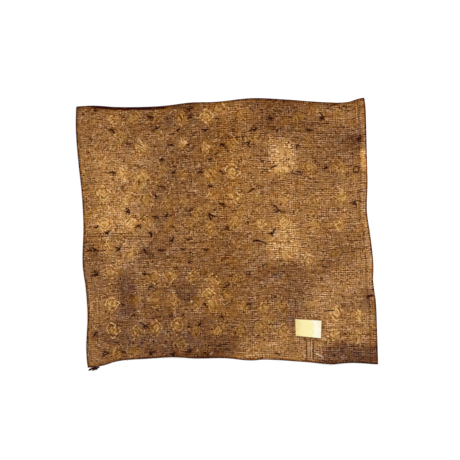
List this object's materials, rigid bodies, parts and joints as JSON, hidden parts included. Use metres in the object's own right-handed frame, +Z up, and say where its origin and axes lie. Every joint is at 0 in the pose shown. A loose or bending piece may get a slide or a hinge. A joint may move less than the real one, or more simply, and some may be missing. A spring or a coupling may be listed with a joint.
{
  "type": "kuba cloth",
  "caption": "Square panel of plain-woven raffia lying flat, reverse side up, with turned hems, tied-off knots, a bare label and a frayed corner tuft.",
  "frame": {"origin": "on the floor, under the middle of the cloth's bounding box", "axes": "+Z up from the floor, +X along the wider side of the cloth, +Y along its other side"},
  "size_m": [0.6346, 0.5738, 0.0119],
  "materials": {
    "raffia_ground": "matte tan and brown plain-woven raffia with a dry, slubbed surface",
    "cream_label": "matte bare cream cotton tape, yellowed on one side",
    "dark_raffia": "matte dark brown dyed raffia strands"
  },
  "bodies": {
    "root": {"cloth": "raffia_ground", "label": "cream_label", "corner_tuft": "dark_raffia"}
  },
  "joints": []
}
